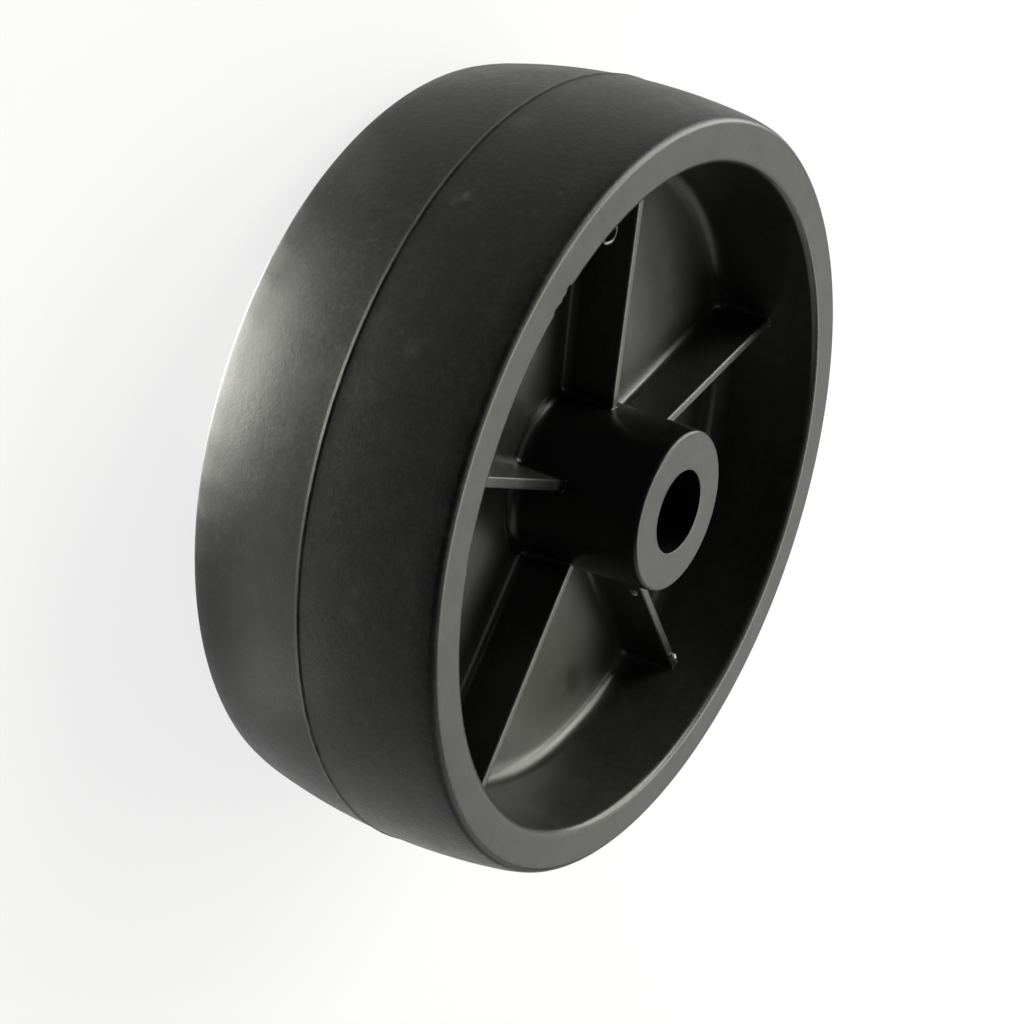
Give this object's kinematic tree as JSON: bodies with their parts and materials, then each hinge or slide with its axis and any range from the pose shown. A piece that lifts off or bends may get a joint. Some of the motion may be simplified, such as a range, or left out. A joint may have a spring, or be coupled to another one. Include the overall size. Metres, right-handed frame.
{
  "type": "plastic wheel",
  "caption": "Moulded plastic wheel with a crowned tread and raised seam, dished sides with radial ribs, and a plain bored hub that stands proud of the rim.",
  "frame": {"origin": "centre of the wheel: on the bore's axis, in the middle plane where the tread's seam runs", "axes": "+Z along the bore and spin axis, out of one hub end; +X through the middle of one rib"},
  "size_m": [0.1276, 0.1276, 0.0502],
  "materials": {
    "black_plastic": "black moulded polyolefin, satin on the rim faces and finely mottled on the tread"
  },
  "bodies": {
    "root": {"wheel": "black_plastic"}
  },
  "joints": []
}
